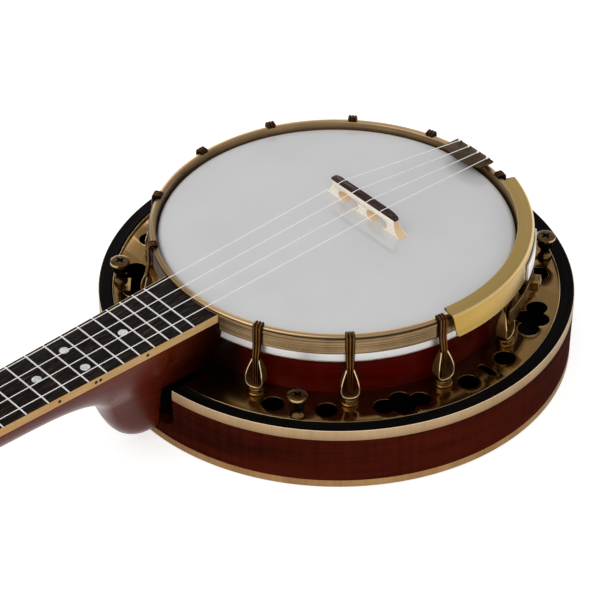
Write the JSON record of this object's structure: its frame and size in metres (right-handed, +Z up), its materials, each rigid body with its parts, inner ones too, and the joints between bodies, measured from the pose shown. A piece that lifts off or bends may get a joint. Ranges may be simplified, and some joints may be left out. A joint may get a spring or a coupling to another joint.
{
  "type": "banjo ukulele",
  "caption": "Small banjo with a wooden resonator, film head, hooked tension hoop, pierced brass flange, armrest, bridge and geared tuners.",
  "frame": {"origin": "centre of the resonator's flat back, which lies on the table", "axes": "+Z up out of the drum head, +Y along the neck to the headstock, +X to the treble side"},
  "size_m": [0.276, 0.6267, 0.0922],
  "materials": {
    "mahogany": "glossy red-brown lacquer over straight-grained wood",
    "dark_mahogany": "glossy dark red-brown lacquer",
    "blond_wood": "light tan binding strip, satin",
    "black_lacquer": "black satin lacquer",
    "brass": "polished, slightly aged",
    "bronze": "dark aged bronze tone",
    "pale_metal": "bright, plain",
    "drum_film": "smooth pale film, semi-gloss",
    "bridge_maple": "pale bare maple",
    "ebony": "dark oiled wood",
    "rosewood": "dark open-grained wood with metal frets",
    "bone": "off-white, satin",
    "nylon": "smooth translucent white",
    "pearl": "milky, polished"
  },
  "bodies": {
    "instrument": {"resonator_back": "mahogany", "resonator_wall": "mahogany", "neck": "mahogany", "pot_rim": "dark_mahogany", "resonator_top_binding": "blond_wood", "resonator_bottom_binding": "blond_wood", "fingerboard_binding_bass": "blond_wood", "fingerboard_binding_treble": "blond_wood", "resonator_lip": "black_lacquer", "headstock_overlay": "black_lacquer", "flange": "brass", "tone_ring": "brass", "tension_hoop": "brass", "armrest": "brass", "armrest_bracket": "brass", "resonator_lug_1": "brass", "resonator_lug_2": "brass", "resonator_lug_3": "brass", "resonator_lug_4": "brass", "tuner_plate_1": "brass", "tuner_plate_2": "brass", "tuner_plate_3": "brass", "tuner_plate_4": "brass", "tailpiece": "bronze", "tailpiece_bolt": "bronze", "hook_1": "bronze", "hook_2": "bronze", "hook_3": "bronze", "hook_4": "bronze", "hook_5": "bronze", "hook_6": "bronze", "hook_7": "bronze", "hook_8": "bronze", "hook_9": "bronze", "hook_10": "bronze", "hook_11": "bronze", "hook_12": "bronze", "flesh_hoop": "pale_metal", "coordinator_rod": "pale_metal", "drum_head": "drum_film", "bridge_base": "bridge_maple", "bridge_cap": "ebony", "fingerboard": "rosewood", "nut": "bone", "string_1": "nylon", "string_2": "nylon", "string_3": "nylon", "string_4": "nylon"},
    "worm_button_1": {"worm_button_1": "pearl"},
    "worm_button_2": {"worm_button_2": "pearl"},
    "worm_button_3": {"worm_button_3": "pearl"},
    "worm_button_4": {"worm_button_4": "pearl"},
    "gear_post_1": {"gear_post_1": "brass"},
    "gear_post_2": {"gear_post_2": "brass"},
    "gear_post_3": {"gear_post_3": "brass"},
    "gear_post_4": {"gear_post_4": "brass"},
    "resonator_screw_1": {"resonator_screw_1": "brass"},
    "resonator_screw_2": {"resonator_screw_2": "brass"},
    "resonator_screw_3": {"resonator_screw_3": "brass"},
    "resonator_screw_4": {"resonator_screw_4": "brass"}
  },
  "joints": [
    {"name": "worm_turn_1", "type": "hinge", "parent": "instrument", "child": "worm_button_1", "pos_m": [-0.0145, 0.42057, 0.03657], "axis": [1, 0, 0], "continuous": true},
    {"name": "worm_turn_2", "type": "hinge", "parent": "instrument", "child": "worm_button_2", "pos_m": [-0.0145, 0.45774, 0.02867], "axis": [1, 0, 0], "continuous": true},
    {"name": "worm_turn_3", "type": "hinge", "parent": "instrument", "child": "worm_button_3", "pos_m": [0.0145, 0.45774, 0.02867], "axis": [1, 0, 0], "continuous": true},
    {"name": "worm_turn_4", "type": "hinge", "parent": "instrument", "child": "worm_button_4", "pos_m": [0.0145, 0.42057, 0.03657], "axis": [1, 0, 0], "continuous": true},
    {"name": "post_turn_1", "type": "hinge", "parent": "instrument", "child": "gear_post_1", "pos_m": [-0.0145, 0.41594, 0.05473], "axis": [0, 0.2079, 0.9781], "continuous": true},
    {"name": "post_turn_2", "type": "hinge", "parent": "instrument", "child": "gear_post_2", "pos_m": [-0.0145, 0.45311, 0.04683], "axis": [0, 0.2079, 0.9781], "continuous": true},
    {"name": "post_turn_3", "type": "hinge", "parent": "instrument", "child": "gear_post_3", "pos_m": [0.0145, 0.45311, 0.04683], "axis": [0, 0.2079, 0.9781], "continuous": true},
    {"name": "post_turn_4", "type": "hinge", "parent": "instrument", "child": "gear_post_4", "pos_m": [0.0145, 0.41594, 0.05473], "axis": [0, 0.2079, 0.9781], "continuous": true},
    {"name": "screw_turn_1", "type": "hinge", "parent": "instrument", "child": "resonator_screw_1", "pos_m": [-0.07985, 0.09617, 0.045], "axis": [0, 0, 1], "continuous": true},
    {"name": "screw_turn_2", "type": "hinge", "parent": "instrument", "child": "resonator_screw_2", "pos_m": [-0.05964, -0.10985, 0.045], "axis": [0, 0, 1], "continuous": true},
    {"name": "screw_turn_3", "type": "hinge", "parent": "instrument", "child": "resonator_screw_3", "pos_m": [0.06438, -0.10715, 0.045], "axis": [0, 0, 1], "continuous": true},
    {"name": "screw_turn_4", "type": "hinge", "parent": "instrument", "child": "resonator_screw_4", "pos_m": [0.08035, 0.09576, 0.045], "axis": [0, 0, 1], "continuous": true}
  ],
  "couplings": [
    {"joint": "post_turn_1", "follows": "worm_turn_1", "ratio": 0.071429},
    {"joint": "post_turn_2", "follows": "worm_turn_2", "ratio": 0.071429},
    {"joint": "post_turn_3", "follows": "worm_turn_3", "ratio": 0.071429},
    {"joint": "post_turn_4", "follows": "worm_turn_4", "ratio": 0.071429}
  ]
}
